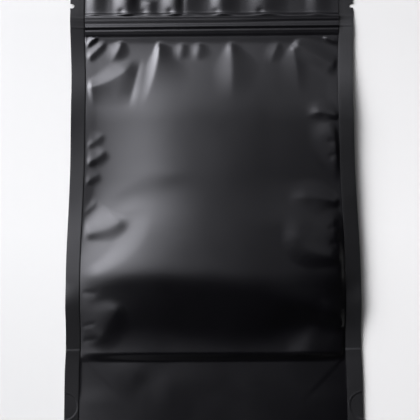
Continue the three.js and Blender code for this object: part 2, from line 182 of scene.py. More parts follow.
@dataclass(frozen=True)
class Fold:
    """A ridge in the film along a curved crest, or a valley where its rise is negative.

    Attributes:
        start: Where the crest starts.
        via: A point that it passes halfway.
        end: Where it ends.
        rise: Its height where it is fullest.
        flanks: The widths of its right and its left side where it is widest, going along it.
        runs: The shares of its length over which it grows and dies away.
        tips: Its widths at its start and its end, as shares of the widest.
        ease: Below 1 the crest is sharper and the foot longer.
    """

    start: Pair
    via: Pair
    end: Pair
    rise: float
    flanks: Pair
    runs: Pair
    tips: Pair
    ease: float = 0.68

    STEPS = 14

    def route(self) -> Points:
        """Points along the crest, evenly spaced along a quadratic curve."""
        start, via, end = (np.array(point) for point in (self.start, self.via, self.end))
        control = 2.0 * via - (start + end) / 2.0
        t = np.linspace(0.0, 1.0, self.STEPS + 1)[:, None]
        return (1 - t) ** 2 * start + 2 * t * (1 - t) * control + t**2 * end

    def height(self, x: Points, y: Points) -> Points:
        """What the fold adds to the film's height.

        Args:
            x: Places across the pouch.
            y: Places along it.

        Returns:
            The height added at each place.
        """
        route = self.route()
        margin = max(self.flanks)
        low, high = route.min(axis=0) - margin, route.max(axis=0) + margin
        near = (x > low[0]) & (x < high[0]) & (y > low[1]) & (y < high[1])
        added = np.zeros(x.shape)
        if near.any():
            added[near] = self._profile(*self._nearest(route, x[near], y[near]))
        return added

    def _nearest(self, route: Points, x: Points, y: Points) -> tuple[Points, Points, Points]:
        """Distance to the crest, side of it as a Flank's value, and share along it."""
        distance = np.full(x.shape, np.inf)
        along = np.zeros(x.shape)
        side = np.zeros(x.shape, dtype=int)
        for i, (here, there) in enumerate(zip(route[:-1], route[1:])):
            run = there - here
            length = np.hypot(*run)
            share = np.clip(((x - here[0]) * run[0] + (y - here[1]) * run[1]) / length**2, 0, 1)
            dx, dy = x - here[0] - share * run[0], y - here[1] - share * run[1]
            away = np.hypot(dx, dy)
            closer = away < distance
            distance = np.where(closer, away, distance)
            along = np.where(closer, (i + share) / self.STEPS, along)
            left = run[0] * dy - run[1] * dx > 0
            side = np.where(closer, np.where(left, Flank.LEFT.value, Flank.RIGHT.value), side)
        return distance, side, along

    def _profile(self, distance: Points, side: Points, along: Points) -> Points:
        """Height at a distance from the crest, for a side of it and a share of its length."""
        grown = ramp(0.0, self.runs[0], along) * ramp(1.0, 1.0 - self.runs[1], along)
        narrowed = (1 - self.tips[0]) * ramp(0.5, 0.0, along)
        narrowed = narrowed + (1 - self.tips[1]) * ramp(0.5, 1.0, along)
        share = distance / (np.array(self.flanks)[side] * (1 - narrowed))
        return self.rise * grown * ramp(1.0, 0.0, share**self.ease)


@dataclass(frozen=True)
class Pleat:
    """An upright pleat in the header, with a dimple by its lower end.

    Attributes:
        crest: Its place across the pouch.
        flanks: The widths of its left and its right side.
        rise: Its height.
        top: The level above which it is gone.
        dimple: The depth of the dimple.
        foot: The share of its height that comes steeply at its foot.
        run: The share that comes slowly.
        fade: How far below its top it starts to go.
        aside: How far the dimple's middle lies to the left of the crest.
        across: Half the dimple's width.
        along: Where the dimple is along the pleat.
    """

    crest: float
    flanks: Pair
    rise: float
    top: float = 120.5
    dimple: float = 0.0
    foot: Step = Step(0.5, 101.2, 102.6)
    run: Step = Step(0.5, 101.5, 113.0)
    fade: float = 3.5
    aside: float = 3.6
    across: float = 1.7
    along: Hump = Hump(1.0, 104.4, 1.6)

    def height(self, x: Points, y: Points) -> Points:
        """What the pleat adds to the film's height at each place."""
        left = ramp(self.crest - self.flanks[0], self.crest, x)
        right = ramp(self.crest + self.flanks[1], self.crest, x)
        upright = self.foot.at(y) + self.run.at(y)
        upright = upright * ramp(self.top, self.top - self.fade, y)
        dimple = self.dimple * bell(self.crest - self.aside, self.across, x) * self.along.at(y)
        return self.rise * left * right * upright - dimple


UNDER_ZIPPER = (
    Fold((-64, 89.5), (-67, 87.5), (-71, 84), 0.8, (4.5, 2.6), (0.3, 0.15), (0.5, 0.8)),
    Fold((-59.5, 87), (-64, 82.5), (-70.5, 76), 0.6, (5.5, 4.5), (0.3, 0.15), (0.5, 0.9)),
    Fold((-51, 87.5), (-52.5, 81.5), (-57.5, 73.5), 0.85, (8, 7.5), (0.25, 0.5), (0.4, 0.9)),
    Fold((-43.5, 77), (-53, 66), (-70.5, 59.5), 0.9, (10, 20), (0.35, 0.08), (0.6, 0.6)),
    Fold((-39.5, 78), (-43.5, 61), (-46.5, 46.5), -0.4, (9, 4.5), (0.3, 0.4), (0.7, 1)),
    Fold((-30, 87.5), (-31.5, 69), (-39, 45.5), 1.25, (7, 20), (0.16, 0.75), (0.3, 0.9)),
    Fold((-16, 86.5), (-17, 81), (-18, 73.5), 0.5, (6, 6.5), (0.3, 0.5), (0.5, 0.9)),
    Fold((-6.5, 86.5), (-7.5, 81), (-8.5, 73.5), 0.6, (6, 8.5), (0.3, 0.5), (0.5, 0.9)),
    Fold((10.5, 87.5), (11.5, 70), (11, 48), 0.85, (12, 16.5), (0.16, 0.55), (0.25, 0.9)),
    Fold((38.5, 86.5), (35.5, 80.5), (32.5, 72.5), 0.4, (7, 5.5), (0.3, 0.5), (0.5, 0.9)),
    Fold((44.5, 85.5), (47.5, 72.5), (48.5, 51), 0.5, (11, 7), (0.2, 0.6), (0.3, 0.9)),
    Fold((45, 86), (56, 79.5), (71.5, 69.5), 0.9, (9, 9), (0.2, 0.15), (0.5, 0.9), 0.95),
    Fold((62, 89), (67, 87.5), (72, 85.5), 0.7, (3.2, 3.2), (0.3, 0.15), (0.5, 0.9)),
)
FROM_LEFT_SEAM = (
    Fold((-60, 34), (-64, 29.5), (-69.5, 26), 0.28, (7, 4.5), (0.3, 0.15), (0.9, 0.35)),
    Fold((-58.5, 24.5), (-63, 20), (-69.5, 16), 0.55, (12, 6), (0.25, 0.15), (0.9, 0.3)),
    Fold((-62, 11.5), (-65.5, 8.5), (-70, 5.5), 0.32, (8, 5), (0.3, 0.15), (0.9, 0.35)),
    Fold((-63, -4), (-66.5, -7.5), (-70.5, -11), 0.18, (4.5, 4), (0.3, 0.15), (0.9, 0.35)),
    Fold((-48.5, -12.5), (-55.5, -19), (-71, -23), 0.6, (18, 8), (0.3, 0.12), (0.85, 0.5), 0.85),
    Fold((-33, -5), (-40.5, -32.5), (-71, -48), 0.42, (15, 34), (0.35, 0.12), (0.8, 0.5), 0.9),
    Fold((-7, 2.5), (-34, 0), (-58, -9.5), -0.12, (9, 9), (0.3, 0.3), (0.9, 0.7), 1),
    Fold((-62, -54), (-66, -54.5), (-71, -54), -0.12, (3, 3.6), (0.4, 0.1), (0.6, 0.9)),
    Fold((-49, -59.5), (-55.5, -70), (-64, -85), 0.9, (15, 12), (0.3, 0.25), (0.5, 0.8), 0.8),
    Fold((-62.5, -70.5), (-66.5, -71.5), (-71, -72.5), -0.12, (2.2, 2.2), (0.4, 0.1), (0.6, 1)),
    Fold((-61.5, -78.5), (-66, -79.5), (-71, -80.5), -0.12, (2.4, 2.4), (0.4, 0.1), (0.6, 1)),
)
FROM_RIGHT_SEAM = (
    Fold((51.5, 42), (61.5, 44.5), (70.5, 41), 0.9, (7, 9.5), (0.4, 0.12), (0.8, 0.35)),
    Fold((62, 44.5), (66.5, 27.5), (71.5, 4.5), 1.2, (14, 6), (0.4, 0.3), (0.9, 0.6), 1),
    Fold((39.5, -5), (55, -3), (70, -6.5), 0.95, (12, 11.5), (0.4, 0.12), (0.8, 0.35)),
    Fold((50, -12.5), (48.5, -30.5), (71, -36), 1, (11, 14), (0.35, 0.12), (0.9, 0.5), 1),
    Fold((62.5, 28), (66, 28), (70, 28), -0.2, (3, 3), (0.4, 0.1), (0.6, 0.9)),
    Fold((63.5, 19.5), (66, 20), (70.5, 21.5), -0.18, (2.8, 2.8), (0.4, 0.1), (0.6, 0.9)),
    Fold((61.5, -20.5), (65.5, -19.5), (70.5, -16.5), -0.22, (3, 3), (0.4, 0.1), (0.6, 0.9)),
    Fold((62.5, -28.5), (66, -28.5), (71, -26), -0.22, (3, 3), (0.4, 0.1), (0.6, 0.9)),
    Fold((48.5, -72), (58.5, -78), (70.5, -84.5), 0.5, (12, 10), (0.4, 0.3), (0.7, 0.9), 1),
    Fold((64.5, -11), (66.5, -33), (69, -56.5), 1.1, (22, 6), (0.35, 0.25), (0.6, 0.6), 1),
    Fold((56, -58.5), (64, -65), (71.5, -73), 0.9, (9, 8), (0.5, 0.1), (0.5, 0.7), 0.85),
    Fold((37, -87), (54, -87), (70.5, -88), 1.35, (3, 16), (0.45, 0.05), (0.7, 0.95), 1),
)
ON_SKIRT = (
    Fold((-41, -90.5), (-43.5, -98), (-50, -107.5), 0.32, (20, 9), (0.5, 0.5), (0.9, 0.9), 1),
    Fold((-24.5, -91.5), (-22.5, -105.5), (-22.5, -125), 0.4, (13, 26), (0.5, 0.5), (0.9, 0.9), 1),
    Fold((19.5, -92), (24, -106.5), (25.5, -125), 0.15, (14, 20), (0.5, 0.5), (0.9, 0.9), 1),
)
PLEATS = (
    Pleat(-66, (6, 7.5), 0.9),
    Pleat(-47.5, (9.5, 7), 2.1, dimple=0.4),
    Pleat(-35, (6, 4.5), 0.8, top=112, dimple=0.25),
    Pleat(-20, (10, 5), 2, dimple=0.4),
    Pleat(-14.5, (3, 11), 1.1),
    Pleat(6, (8, 11), 1.7, dimple=0.35),
    Pleat(31, (12, 13), 1.4, dimple=0.3),
    Pleat(60, (8, 9), 0.9),
)


@dataclass(frozen=True)
class Zipper:
    """The press-to-close zipper, as it prints through the film.

    Attributes:
        bottom: Lower edge of its band.
        steps: From the mouth down, the levels where a step starts and ends and its height.
        dip: The dip in the flange above the ribs.
        dip_run: Where that comes, going to the right.
        slant: How far it climbs to the right, over the distance, and from which level over its
            lower edge.
    """

    bottom: float = 89.6
    steps: tuple[tuple[float, float, float], ...] = (
        (102.4, 101.2, 0.30),
        (101.0, 99.8, -0.16),
        (99.4, 97.2, -0.28),
        (97.1, 95.5, 0.36),
        (95.3, 93.9, -0.66),
        (93.8, 93.2, 0.04),
        (92.9, 91.8, -0.22),
        (91.9, 89.6, -0.58),
        (89.9, 85.2, -0.25),
    )
    dip: Hump = Hump(0.22, 98.2, 0.9)
    dip_run: Step = Step(1.0, 5.0, 50.0)
    slant: Step = Step(0.006, -4.0, 1.0)

    def relief(self, x: Points, y: Points) -> Points:
        """The zipper's height over the plain film at each place."""
        level = y - self.slant.at(y - self.bottom) * x
        dip = self.dip.at(level) * self.dip_run.at(x)
        return sum(rise * ramp(start, end, level) for start, end, rise in self.steps) - dip


@dataclass(frozen=True)
class Hang:
    """How a side seal's free edge hangs below its seam, or curls above it.

    Attributes:
        sag: How far it hangs along the body.
        curl: How far it curls up towards the mouth.
        loss: The share of that curl which goes again near the mouth.
        low_sag: The share by which it hangs further down towards the foot.
        dip: How much of the curl is missing below the zipper.
        foot_curl: How far it curls up beside the foot.
    """

    sag: Stretch
    curl: Step
    loss: Step
    low_sag: Step = Step(0.0, 0.0, -10.0)
    dip: Hump = Hump(0.0, 67.0, 15.0)
    foot_curl: Step = Step(0.65, -48.0, -62.0)

    def depth(self, y: Points) -> Points:
        """How far the free edge lies below the seam at each level."""
        sag = self.sag.at(y) * (1.0 + self.low_sag.at(y))
        curl = self.curl.at(y) * (1.0 - self.loss.at(y)) - self.dip.at(y)
        return sag - curl - self.foot_curl.at(y)


LEFT_HANG = Hang(Stretch(0.9, -62.0, -48.0, -20.0, 10.0), Step(1.8, 5.0, 60.0),
                 Step(0.45, 96.0, 110.0), dip=Hump(0.8, 67.0, 15.0))
RIGHT_HANG = Hang(Stretch(0.75, -60.0, -45.0, 20.0, 70.0), Step(0.6, 45.0, 70.0),
                  Step(1.0, 92.0, 104.0), low_sag=Step(0.4, 0.0, -10.0))


@dataclass(frozen=True)
class Swell:
    """The air-filled body's height over its seams, without its folds.

    A share is a distance to the right of the midline over the seam's distance from it.

    Attributes:
        neck: Rise of the crown below the zipper.
        rise: The crown's further rise, growing towards the foot.
        rise_start: The level where that starts.
        rise_length: The length over which it is reached.
        rise_power: How late it grows.
        left_rise: How much fuller the upper left is.
        left_across: The shares where it is.
        brow: Level on the midline where the crown bends down towards the foot.
        brow_skew: How much lower that is at the right seam, and higher at the left one.
        brow_sweep: How much lower it is at both.
        brow_drop: How much lower it is over the whole right half.
        brow_bend: Softness of the bend.
        slope: Steepness of the slope below the brow, on the midline.
        right_slope: How much steeper it is at the right.
        length: Length of the slope.
        shortening: The share of that length lost towards the right.
        hollow_bend: Softness of the bend at the slope's foot.
        right_fall: The share of the crown lost at the right below the brow.
        lower: Where the section changes from the upper body's to the lower body's.
        bulge: The seam's distance from the midline over the upper bulge's.
        section_power: How early the section rounds off towards the seams.
        right_fullness: How much less it does so at the right of the lower body.
        left_fullness: How much less it does so at the left.
        flat_power: The same power for the flatter section of the foot.
        flattening: Where the section changes to that.
    """

    neck: Step = Step(1.3, 92.0, 45.0)
    rise: float = 10.2
    rise_start: float = 86.0
    rise_length: float = 131.0
    rise_power: float = 1.25
    left_rise: Stretch = Stretch(0.75, -8.0, 12.0, 52.0, 78.0)
    left_across: Hump = Hump(1.0, -0.42, 0.28)
    brow: float = -49.5
    brow_skew: float = 8.0
    brow_sweep: float = 9.0
    brow_drop: Step = Step(3.0, 0.1, 0.5)
    brow_bend: float = 2.3
    slope: float = 0.39
    right_slope: Step = Step(0.24, 0.1, 0.7)
    length: float = 29.0
    shortening: Step = Step(0.6, 0.1, 0.8)
    hollow_bend: float = 2.6
    right_fall: Step = Step(0.25, 0.3, 0.9)
    lower: Step = Step(1.0, 8.0, -20.0)
    bulge: float = 1.085
    section_power: float = 1.5
    right_fullness: float = 0.7
    left_fullness: Step = Step(0.5, 0.0, -45.0)
    flat_power: int = 4
    flattening: Step = Step(1.0, -52.0, -80.0)

    def height(self, y: Points, share: Points) -> Points:
        """The body's height over its seams.

        Args:
            y: Places along the pouch.
            share: Their shares.

        Returns:
            The height at each place.
        """
        brow = self.brow - self.brow_skew * share - self.brow_sweep * share**4
        brow = brow - self.brow_drop.at(share)
        hollow = brow - self.length * (1.0 - self.shortening.at(share))
        slope = self.slope + self.right_slope.at(share)
        fall = slope * (bend(brow, self.brow_bend, y) - bend(hollow, self.hollow_bend, y))
        kept = 1.0 - self.right_fall.at(share) * ramp(brow, hollow, y)
        return (self.crown(y, share) * kept - fall) * self.section(y, share)

    def crown(self, y: Points, share: Points) -> Points:
        """The crown's height at each place, but for its fall below the brow."""
        grown = np.clip((self.rise_start - y) / self.rise_length, 0.0, None) ** self.rise_power
        left = self.left_rise.at(y) * self.left_across.at(share)
        return self.neck.at(y) + self.rise * grown + left

    def section(self, y: Points, share: Points) -> Points:
        """The share of the crown's height that is left at each place on its way to a seam."""
        lower = self.lower.at(y)
        fullness = np.where(share > 0.0, self.right_fullness * lower, self.left_fullness.at(y))
        bulge = self.bulge + (1.0 - self.bulge) * lower
        narrower = np.minimum(np.abs(share) * bulge, 1.0)
        rounded = (1.0 - narrower**2) ** (self.section_power - fullness)
        return rounded + (self.flat_section(share) - rounded) * self.flattening.at(y)

    def flat_section(self, share: Points) -> Points:
        """The same for the foot."""
        return 1.0 - share**self.flat_power


@dataclass(frozen=True)
class PouchForm:
    """The whole pouch's outline and its two surfaces.

    Attributes:
        side_seal: Width of the welded strip down each side.
        top_seal: Height of the weld across the mouth.
        film: Thickness of the welded strips.
        pull_in: How far the air draws each long edge in.
        foot_pull_in: How far each is drawn in beside the gusset's fold.
        seal_level: Middle of the welded strips at the pouch's two ends.
        seal_lift: Rise of the long seals beside the body.
        right_lift: How much higher still the right one is.
        right_share: The shares of the half width over which the film climbs to it.
        zipper_lift: Rise of the seals where the stiff zipper crosses them.
        wall: Width of the body's and the zipper's own walls at the seams.
        header_rise: Rise of the front at the zipper, which its steps take off again.
        header_dip: How much lower it is between the zipper and the mouth.
        pleat_edge: How near a seam the pleats start to go.
        fold_edge: How near a seam the folds start to go.
        crease_edge: How near a seam the skirt's creases start to go.
        skirt_rise: Rise of the skirt over its seams.
        skirt_tilt: How much more it rises towards the foot's edge, over the distance.
        skirt_top: The crease along the top of the skirt.
        step_top: Where the front starts to step down to that crease.
        layers: What the gusset's webs add to each face of a seal, from the step at its fold down.
        sag_width: How far in from a seam the back comes down to the table.
        corner_weld: How deep the skirt is pressed in outside the slanting weld lines, by the
            distance across less the level.
        corner_weld_end: Where that comes, going up from the foot.
        crush: The share of the zipper's relief lost as it runs on under the side seals.
        back_relief: The share of that relief which the back shows.
        punch_radius: Radius of the half rounds pressed into the seals beside the foot.
        punch_level: Level of their middle.
        punch: Their depth and the width of their edge.
        burr: How far the film stands up about that edge.
        groove: Depth and width of the groove along the welds' inner edges.
        left_hang: How the left side seal hangs.
        right_hang: How the right one hangs.
        swell: The body's form without its folds.
        zipper: The zipper's form.
        folds: The folds in the body.
        creases: The faint creases in the skirt.
        pleats: The pleats in the header.
    """

    side_seal: float = 8.0
    top_seal: float = 10.0
    film: float = 0.5
    pull_in: Stretch = Stretch(1.75, -46.0, 22.0, 55.0, 108.0)
    foot_pull_in: Stretch = Stretch(0.4, -98.0, -84.0, -76.0, -62.0)
    seal_level: float = 0.45
    seal_lift: Stretch = Stretch(3.6, -92.0, -44.0, 40.0, 100.0)
    right_lift: Stretch = Stretch(1.8, -76.0, -42.0, 40.0, 75.0)
    right_share: Step = Step(1.0, 0.4, 1.0)
    zipper_lift: Hump = Hump(0.45, 95.5, 9.0)
    wall: float = 0.35
    header_rise: float = 1.45
    header_dip: Step = Step(0.6, 102.0, 104.0)
    pleat_edge: float = 2.0
    fold_edge: float = 2.5
    crease_edge: float = 1.0
    skirt_rise: float = 1.5
    skirt_tilt: float = 0.05
    skirt_top: float = -91.7
    step_top: float = -86.3
    layers: Step = Step(0.2, -84.6, -85.3)
    sag_width: float = 17.0
    corner_weld: Step = Step(0.2, 159.6, 160.6)
    corner_weld_end: Step = Step(1.0, -114.0, -103.0)
    crush: Pair = (0.45, 3.0)
    back_relief: float = 0.3
    punch_radius: float = 7.0
    punch_level: float = -115.0
    punch: Step = Step(0.13, 0.3, -0.3)
    burr: Hump = Hump(0.06, 0.4, 0.4)
    groove: Step = Step(0.32, 0.36, 0.0)
    left_hang: Hang = LEFT_HANG
    right_hang: Hang = RIGHT_HANG
    swell: Swell = Swell()
    zipper: Zipper = Zipper()
    folds: tuple[Fold, ...] = UNDER_ZIPPER + FROM_LEFT_SEAM + FROM_RIGHT_SEAM
    creases: tuple[Fold, ...] = ON_SKIRT
    pleats: tuple[Pleat, ...] = PLEATS

    @property
    def top(self) -> float:
        """Level of the mouth's edge."""
        return LENGTH / 2

    @property
    def seal_bottom(self) -> float:
        """Lower edge of the weld across the mouth."""
        return self.top - self.top_seal

    @property
    def plain_seam(self) -> float:
        """Distance of the seams from the midline in a pouch that isn't drawn in."""
        return WIDTH / 2 - self.side_seal

    def half_width(self, y: Points) -> Points:
        """Half the pouch's width at each level, drawn in where the body swells."""
        return WIDTH / 2 - self.pull_in.at(y) - self.foot_pull_in.at(y)

    def seam(self, y: Points) -> Points:
        """Distance of the side seals' inner edge from the midline."""
        return self.half_width(y) - self.side_seal

    def seam_level(self, y: Points, share: float | Points) -> Points:
        """Height of the middle of the welded film, for shares of the seam's distance."""
        right = self.right_lift.at(y) * self.right_share.at(share)
        return self.seal_level + self.seal_lift.at(y) + right + self.zipper_lift.at(y)

    def droop(self, out: Points, y: Points, side: int) -> Points:
        """How far a side seal lies below its seam, for distances outside that."""
        hang = self.left_hang if side < 0 else self.right_hang
        return hang.depth(y) * out / self.side_seal

    def front(self, x: Points, y: Points) -> Points:
        """Height of the front between the side seams.

        Args:
            x: Places across the pouch, none outside a seam.
            y: Places along it.

        Returns:
            The height at each place.
        """
        seam = self.seam(y)
        inside = np.maximum(seam - np.abs(x), 0.0)
        share = np.clip(x / seam, -1.0, 1.0)
        wide = ramp(0.0, self.wall, inside)
        folds = sum(fold.height(x, y) for fold in self.folds)
        body = self.swell.height(y, share) + folds * np.minimum(inside / self.fold_edge, 1.0)
        skirt = self.skirt(x, y, share, inside)
        lower = skirt + (body - skirt) * ramp(self.skirt_top, self.step_top, y)
        lower = lower + self.header_rise * wide
        relief = np.where(y > self.zipper.bottom, self.header(x, y, inside, wide), lower)
        relief = relief + self.zipper.relief(x, y) * wide
        groove = self.groove.at(inside) * (x > 0.0)
        return self.seam_level(y, share) + self.film / 2 + relief - groove

    def header(self, x: Points, y: Points, inside: Points, wide: Points) -> Points:
        """Height of the front from the zipper up over its seams, without the zipper's relief."""
        raised = (self.header_rise - self.header_dip.at(y)) * wide
        raised = raised * ramp(self.top - self.top_seal / 2, self.seal_bottom, y)
        pleats = sum(pleat.height(x, y) for pleat in self.pleats)
        return raised + pleats * np.minimum(inside / self.pleat_edge, 1.0)

    def skirt(self, x: Points, y: Points, share: Points, inside: Points) -> Points:
        """Height of the skirt over its seams."""
        rise = self.skirt_rise + self.skirt_tilt * np.maximum(self.skirt_top - y, 0.0)
        relief = self.skirt_relief(x, y) * np.minimum(inside / self.crease_edge, 1.0)
        return rise * self.swell.flat_section(share) + relief

    def skirt_relief(self, x: Points, y: Points) -> Points:
        """What the faint creases and the slanting welds in its corners add to the skirt."""
        corner = self.corner_weld.at(np.abs(x) - y) * self.corner_weld_end.at(y)
        return sum(fold.height(x, y) for fold in self.creases) - corner

    def back(self, x: Points, y: Points) -> Points:
        """Height of the back between the side seams: on the table but for a strip at each seam."""
        seam = self.seam(y)
        inside = np.maximum(seam - np.abs(x), 0.0)
        table = ramp(0.0, self.sag_width, inside) * ramp(self.top, self.seal_bottom, y)
        level = self.seam_level(y, np.clip(x / seam, -1.0, 1.0))
        return (level - self.film / 2) * (1.0 - table)

    def web(self, column: Points, y: Points, upper: bool) -> tuple[Points, Points]:
        """The front's or the back's x and height, for columns of a pouch that isn't drawn in."""
        x = column * self.seam(y) / self.plain_seam
        return x, self.front(x, y) if upper else self.back(x, y)

    def strip(self, out: Points, y: Points, upper: bool, side: int) -> Points:
        """Height of one face of a side weld.

        Args:
            out: Distances outside the seam.
            y: Places along the pouch.
            upper: Whether the front's face is asked for.
            side: -1 for the left seal, 1 for the right.

        Returns:
            The height at each place.
        """
        face = 1.0 if upper else -1.0
        lost, width = self.crush
        crushed = 1.0 - lost * np.minimum(out / width, 1.0)
        shown = 1.0 if upper else self.back_relief
        x = side * (self.seam(y) + out)
        relief = np.maximum(self.zipper.relief(x, y), 0.0) * crushed * shown
        edge = np.hypot(np.abs(x) - WIDTH / 2, y - self.punch_level) - self.punch_radius
        punch = (self.punch.at(edge) - self.burr.at(edge)) * upper
        groove = self.groove.at(out) * (upper and side < 0)
        middle = self.seam_level(y, float(side)) - self.droop(out, y, side)
        return middle + face * (self.film / 2 + relief + self.layers.at(y) - groove - punch)


FORM = PouchForm()


def finished(name: str, bm: bmesh.types.BMesh) -> bpy.types.Mesh:
    """Makes a mesh of a bmesh, which is used up."""
    mesh = bpy.data.meshes.new(name)
    bm.to_mesh(mesh)
    bm.free()
    return mesh


def slab(name: str, columns: Points, rows: Points, surface: Surface) -> bpy.types.Object:
    """Makes a closed sheet over a grid.

    Args:
        name: The object's name.
        columns: The grid's columns, in the surface's own measure.
        rows: Its rows, as places along the pouch.
        surface: Gives x and the height for columns, rows and whether the upper face is meant.

    Returns:
        The new object, at the origin.
    """
    bm = bmesh.new()
    across, along = len(columns) - 1, len(rows) - 1
    bmesh.ops.create_grid(bm, x_segments=across, y_segments=along, size=0.5)
    doubled = bmesh.ops.extrude_face_region(bm, geom=bm.faces[:], use_keep_orig=True)
    copies = [part for part in doubled["geom"] if isinstance(part, bmesh.types.BMVert)]
    bmesh.ops.translate(bm, vec=(0.0, 0.0, 1.0), verts=copies)
    bmesh.ops.recalc_face_normals(bm, faces=bm.faces[:])
    mesh = finished(name, bm)
    places = np.empty(3 * len(mesh.vertices))
    mesh.vertices.foreach_get("co", places)
    places = places.reshape(-1, 3)
    column = columns[np.rint((places[:, 0] + 0.5) * across).astype(int)]
    row = rows[np.rint((places[:, 1] + 0.5) * along).astype(int)]
    lifted = places[:, 2] > 0.5
    for upper in (True, False):
        face = lifted == upper
        x, z = surface(column[face], row[face], upper)
        places[face] = np.column_stack((x, row[face], z)) * METRES
    mesh.vertices.foreach_set("co", places.ravel())
    mesh.update()
    return adopt(name, mesh)


def adopt(name: str, mesh: bpy.types.Mesh) -> bpy.types.Object:
    """Puts a mesh into the scene as an object at the origin."""
    piece = bpy.data.objects.new(name, mesh)
    bpy.context.scene.collection.objects.link(piece)
    return piece


class Cut(Enum):
    """What a cutter does to a piece."""

    AWAY = "DIFFERENCE"
    KEEP = "INTERSECT"


def cut(piece: bpy.types.Object, cutter: bpy.types.Object, how: Cut) -> None:
    """Cuts a piece with another object, which is used up.

    Args:
        piece: What is cut.
        cutter: A closed object.
        how: Whether what lies inside the cutter goes or stays.
    """
    modifier = piece.modifiers.new("cut", "BOOLEAN")
    modifier.operation = how.value
    modifier.solver = "MANIFOLD"
    modifier.object = cutter
    graph = bpy.context.evaluated_depsgraph_get()
    mesh = bpy.data.meshes.new_from_object(piece.evaluated_get(graph))
    piece.modifiers.clear()
    old, piece.data = piece.data, mesh
    bpy.data.meshes.remove(old)
    mesh.name = piece.name
    bpy.data.meshes.remove(cutter.data)


@dataclass(frozen=True)
class Offcuts:
    """Cutters for the corners, the tear notches and the gusset's slit.

    Attributes:
        corner: Radius of the pouch's corners.
        notch_level: Level of the tear notches.
        notch_depth: How deep they go.
        notch_radius: Half their width.
        notch_rounding: The rounding of their inner end, as a share of that.
        notch_reach: How long the cutter is.
        slit_half_width: Half the width of the gap between the two lips of the foot.
        slit_top: Where it ends, under the gusset's fold.
        slit_opening: The gap at the middle of the foot.
        slit_edge: The gap at its sides and its end.
        slit_step: The step of its grid.
        past: How far the outline's block reaches past the pouch, and the slit's past its foot.
        block_height: Height of the upright blocks.
        segments: How many flats make up a block's rounded corner.
    """

    corner: float = 4.5
    notch_level: float = 107.8
    notch_depth: float = 2.2
    notch_radius: float = 1.3
    notch_rounding: float = 0.98
    notch_reach: float = 8.0
    slit_half_width: float = 66.0
    slit_top: float = -86.0
    slit_opening: float = 3.2
    slit_edge: float = 0.05
    slit_step: float = 2.0
    past: Pair = (0.01, 1.0)
    block_height: float = 80.0
    segments: int = 10

    def outline(self) -> bpy.types.Object:
        """An upright block with the pouch's rounded corners."""
        size = (WIDTH + 2 * self.past[0], LENGTH + 2 * self.past[0])
        return self._block("outline", (0.0, 0.0), size, self.corner)

    def notch(self, side: int) -> bpy.types.Object:
        """The cutter of the left (-1) or the right (1) tear notch, a slot with a round end."""
        inner = float(FORM.half_width(np.float64(self.notch_level))) - self.notch_depth
        centre = (side * (inner + self.notch_reach / 2), self.notch_level)
        size = (self.notch_reach, 2 * self.notch_radius)
        return self._block("notch", centre, size, self.notch_rounding * self.notch_radius)

    def slit(self) -> bpy.types.Object:
        """The gap between the two lips of the foot."""
        columns = divide(-self.slit_half_width, ((self.slit_half_width, self.slit_step),))
        foot = -LENGTH / 2
        rows = divide(foot - self.past[1], ((foot, self.past[1]), (self.slit_top, self.slit_step)))

        def surface(x: Points, y: Points, upper: bool) -> tuple[Points, Points]:
            """One face of the gap."""
            level = np.maximum(y, foot)
            middle = (FORM.front(x, level) + FORM.back(x, level)) / 2
            across = 1.0 - (x / self.slit_half_width) ** 2
            along = np.minimum((self.slit_top - y) / (self.slit_top - foot), 1.0)
            gap = self.slit_edge + self.slit_opening * across * along
            return x, middle + (gap if upper else -gap) / 2

        return slab("slit", columns, rows, surface)

    def _block(self, name: str, centre: Pair, size: Pair, rounding: float) -> bpy.types.Object:
        """Makes an upright block with rounded corners.

        Args:
            name: Its name.
            centre: Its middle in plan.
            size: Its width and its length.
            rounding: The radius of its corners.

        Returns:
            The new object, in metres.
        """
        bm = bmesh.new()
        bmesh.ops.create_cube(bm, size=1.0)
        bmesh.ops.scale(bm, vec=(*size, self.block_height), verts=bm.verts[:])
        upright = [e for e in bm.edges if abs(e.verts[0].co.z - e.verts[1].co.z) > 1.0]
        bmesh.ops.bevel(bm, geom=upright, offset=rounding, affect="EDGES", profile=0.5,
                        segments=self.segments, material=-1)
        bmesh.ops.translate(bm, vec=(*centre, 0.0), verts=bm.verts[:])
        bmesh.ops.scale(bm, vec=(METRES,) * 3, verts=bm.verts[:])
        bmesh.ops.recalc_face_normals(bm, faces=bm.faces[:])
        return adopt(name, finished(name, bm))


OFFCUTS = Offcuts()

# The range that most values of a noise lie in, and the sockets of a Mix node's two colours, which
# share their names with others.
NOISE_MIDDLE = (0.3, 0.7)
MIX_COLOURS = (6, 7)


